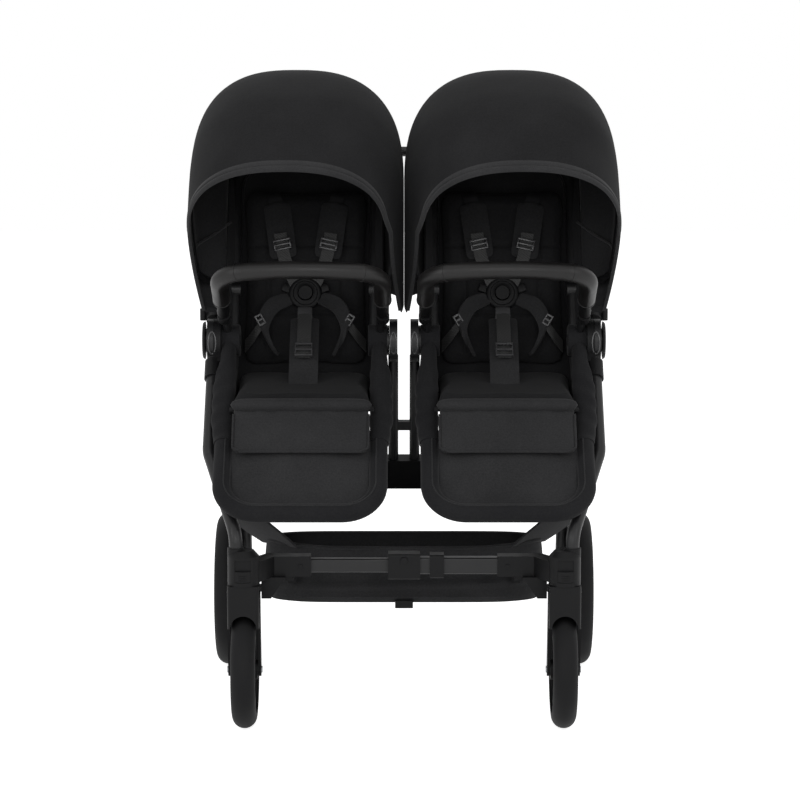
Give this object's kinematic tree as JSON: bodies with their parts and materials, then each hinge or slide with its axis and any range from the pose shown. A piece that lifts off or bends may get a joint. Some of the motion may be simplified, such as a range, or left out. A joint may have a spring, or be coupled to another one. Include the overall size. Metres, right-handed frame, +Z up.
{
  "type": "side by side double stroller",
  "caption": "Black side by side stroller with twin canopied seats, bumper bars, leg rests, swivel front wheels, large rear wheels, basket and height-adjustable push bar.",
  "frame": {"origin": "on the ground, at the middle of the stroller's box", "axes": "+Z up, -Y the way the stroller faces, +X across it to its right as seen from the front"},
  "size_m": [0.78, 0.872, 1.159],
  "materials": {
    "black_tube": "satin black coat on aluminium tube",
    "black_plastic": "fine moulded grain",
    "black_cloth": "woven, lightly heathered",
    "black_leather": "satin leather look",
    "tyre_rubber": "matt rubber",
    "steel": "turned"
  },
  "bodies": {
    "chassis": {"front_legs": "black_tube", "outer_hubs": "black_plastic", "frame_fasteners": "black_plastic", "front_arms": "black_plastic", "front_cross_bar": "black_tube", "cross_bar_clamps": "black_plastic", "swivel_housings": "black_plastic", "handle_sleeves": "black_tube", "basket": "black_cloth", "basket_hooks": "black_plastic"},
    "width_lock": {"width_lock_button": "black_plastic"},
    "rear_frame": {"rear_legs": "black_tube", "rear_beam": "black_plastic", "center_posts": "black_tube", "rear_axle": "steel"},
    "brake_pedal": {"brake_pedal": "black_plastic"},
    "handle": {"handle_frame": "black_tube", "handle_grip": "black_leather"},
    "left_swivel_lock": {"left_swivel_lock": "black_plastic"},
    "left_handle_lever": {"left_handle_lever": "black_plastic"},
    "left_brake_pin": {"left_brake_pin": "steel"},
    "left_fork": {"left_fork": "black_plastic", "left_front_axle": "steel"},
    "left_front_wheel": {"left_front_tyre": "tyre_rubber", "left_front_rim": "black_plastic"},
    "left_rear_wheel": {"left_rear_tyre": "tyre_rubber", "left_rear_rim": "black_plastic"},
    "left_seat": {"left_seat_frame": "black_tube", "left_seat_shell": "black_cloth", "left_seat_pad": "black_cloth", "left_back_pad": "black_cloth", "left_leg_rest": "black_cloth", "left_harness": "black_cloth", "left_canopy_rear": "black_cloth"},
    "left_canopy": {"left_canopy_front": "black_cloth"},
    "left_bumper": {"left_bumper_bar": "black_leather"},
    "left_bar_button": {"left_bar_button": "black_plastic"},
    "left_buckle_button": {"left_buckle_button": "black_plastic"},
    "left_recline_handle": {"left_recline_handle": "black_plastic"},
    "right_swivel_lock": {"right_swivel_lock": "black_plastic"},
    "right_handle_lever": {"right_handle_lever": "black_plastic"},
    "right_brake_pin": {"right_brake_pin": "steel"},
    "right_fork": {"right_fork": "black_plastic", "right_front_axle": "steel"},
    "right_front_wheel": {"right_front_tyre": "tyre_rubber", "right_front_rim": "black_plastic"},
    "right_rear_wheel": {"right_rear_tyre": "tyre_rubber", "right_rear_rim": "black_plastic"},
    "right_seat": {"right_seat_frame": "black_tube", "right_seat_shell": "black_cloth", "right_seat_pad": "black_cloth", "right_back_pad": "black_cloth", "right_leg_rest": "black_cloth", "right_harness": "black_cloth", "right_canopy_rear": "black_cloth"},
    "right_canopy": {"right_canopy_front": "black_cloth"},
    "right_bumper": {"right_bumper_bar": "black_leather"},
    "right_bar_button": {"right_bar_button": "black_plastic"},
    "right_buckle_button": {"right_buckle_button": "black_plastic"},
    "right_recline_handle": {"right_recline_handle": "black_plastic"}
  },
  "joints": [
    {"name": "chassis_fold", "type": "hinge", "parent": "chassis", "child": "rear_frame", "pos_m": [0, -0.015, 0.656], "axis": [-1, 0, 0], "range_deg": [0, 36]},
    {"name": "handle_height", "type": "slide", "parent": "chassis", "child": "handle", "axis": [0, 0.8055, 0.5926], "range_m": [0, 0.1]},
    {"name": "width_lock_press", "type": "slide", "parent": "chassis", "child": "width_lock", "axis": [0, 1, 0], "range_m": [0, 0.003], "stiffness_N_per_m": 300},
    {"name": "brake_pedal_press", "type": "hinge", "parent": "rear_frame", "child": "brake_pedal", "pos_m": [0.19, 0.15, 0.147], "axis": [-1, 0, 0], "range_deg": [0, 20]},
    {"name": "left_caster_swivel", "type": "hinge", "parent": "chassis", "child": "left_fork", "pos_m": [-0.285, -0.36, 0.25], "axis": [0, 0, 1], "continuous": true},
    {"name": "left_front_wheel_spin", "type": "hinge", "parent": "left_fork", "child": "left_front_wheel", "pos_m": [-0.285, -0.332, 0.105], "axis": [1, 0, 0], "continuous": true},
    {"name": "left_rear_wheel_spin", "type": "hinge", "parent": "rear_frame", "child": "left_rear_wheel", "pos_m": [-0.34, 0.15, 0.147], "axis": [1, 0, 0], "continuous": true},
    {"name": "left_swivel_lock_slide", "type": "slide", "parent": "chassis", "child": "left_swivel_lock", "axis": [0, 0, 1], "range_m": [0, 0.018]},
    {"name": "left_handle_lever_turn", "type": "hinge", "parent": "chassis", "child": "left_handle_lever", "pos_m": [-0.372, 0.2186, 0.82784], "axis": [-1, 0, 0], "range_deg": [0, 70]},
    {"name": "left_brake_pin_slide", "type": "slide", "parent": "rear_frame", "child": "left_brake_pin", "axis": [-1, 0, 0], "range_m": [0, 0.006]},
    {"name": "left_seat_recline", "type": "hinge", "parent": "chassis", "child": "left_seat", "pos_m": [-0.186, -0.015, 0.656], "axis": [-1, 0, 0], "range_deg": [0, 28]},
    {"name": "left_canopy_fold", "type": "hinge", "parent": "left_seat", "child": "left_canopy", "pos_m": [-0.186, 0.035, 0.745], "axis": [1, 0, 0], "range_deg": [-50, 0]},
    {"name": "left_bumper_lift", "type": "slide", "parent": "left_seat", "child": "left_bumper", "axis": [0, -0.8704, 0.4924], "range_m": [0, 0.025]},
    {"name": "left_bar_button_press", "type": "slide", "parent": "left_bumper", "child": "left_bar_button", "axis": [1, 0, 0], "range_m": [0, 0.0025], "stiffness_N_per_m": 300},
    {"name": "left_buckle_press", "type": "slide", "parent": "left_seat", "child": "left_buckle_button", "axis": [0, 0.9548, -0.2972], "range_m": [0, 0.0025], "stiffness_N_per_m": 300},
    {"name": "left_recline_squeeze", "type": "hinge", "parent": "left_seat", "child": "left_recline_handle", "pos_m": [-0.186, 0.17, 0.985], "axis": [1, 0, 0], "range_deg": [0, 15], "stiffness_Nm_per_rad": 1},
    {"name": "right_caster_swivel", "type": "hinge", "parent": "chassis", "child": "right_fork", "pos_m": [0.285, -0.36, 0.25], "axis": [0, 0, 1], "continuous": true},
    {"name": "right_front_wheel_spin", "type": "hinge", "parent": "right_fork", "child": "right_front_wheel", "pos_m": [0.285, -0.332, 0.105], "axis": [1, 0, 0], "continuous": true},
    {"name": "right_rear_wheel_spin", "type": "hinge", "parent": "rear_frame", "child": "right_rear_wheel", "pos_m": [0.34, 0.15, 0.147], "axis": [1, 0, 0], "continuous": true},
    {"name": "right_swivel_lock_slide", "type": "slide", "parent": "chassis", "child": "right_swivel_lock", "axis": [0, 0, 1], "range_m": [0, 0.018]},
    {"name": "right_handle_lever_turn", "type": "hinge", "parent": "chassis", "child": "right_handle_lever", "pos_m": [0.372, 0.2186, 0.82784], "axis": [-1, 0, 0], "range_deg": [0, 70]},
    {"name": "right_brake_pin_slide", "type": "slide", "parent": "rear_frame", "child": "right_brake_pin", "axis": [1, 0, 0], "range_m": [0, 0.006]},
    {"name": "right_seat_recline", "type": "hinge", "parent": "chassis", "child": "right_seat", "pos_m": [0.186, -0.015, 0.656], "axis": [-1, 0, 0], "range_deg": [0, 28]},
    {"name": "right_canopy_fold", "type": "hinge", "parent": "right_seat", "child": "right_canopy", "pos_m": [0.186, 0.035, 0.745], "axis": [1, 0, 0], "range_deg": [-50, 0]},
    {"name": "right_bumper_lift", "type": "slide", "parent": "right_seat", "child": "right_bumper", "axis": [0, -0.8704, 0.4924], "range_m": [0, 0.025]},
    {"name": "right_bar_button_press", "type": "slide", "parent": "right_bumper", "child": "right_bar_button", "axis": [-1, 0, 0], "range_m": [0, 0.0025], "stiffness_N_per_m": 300},
    {"name": "right_buckle_press", "type": "slide", "parent": "right_seat", "child": "right_buckle_button", "axis": [0, 0.9548, -0.2972], "range_m": [0, 0.0025], "stiffness_N_per_m": 300},
    {"name": "right_recline_squeeze", "type": "hinge", "parent": "right_seat", "child": "right_recline_handle", "pos_m": [0.186, 0.17, 0.985], "axis": [1, 0, 0], "range_deg": [0, 15], "stiffness_Nm_per_rad": 1}
  ],
  "couplings": [
    {"joint": "left_brake_pin_slide", "follows": "brake_pedal_press", "m_per_rad": 0.01718},
    {"joint": "right_brake_pin_slide", "follows": "brake_pedal_press", "m_per_rad": 0.01718}
  ]
}
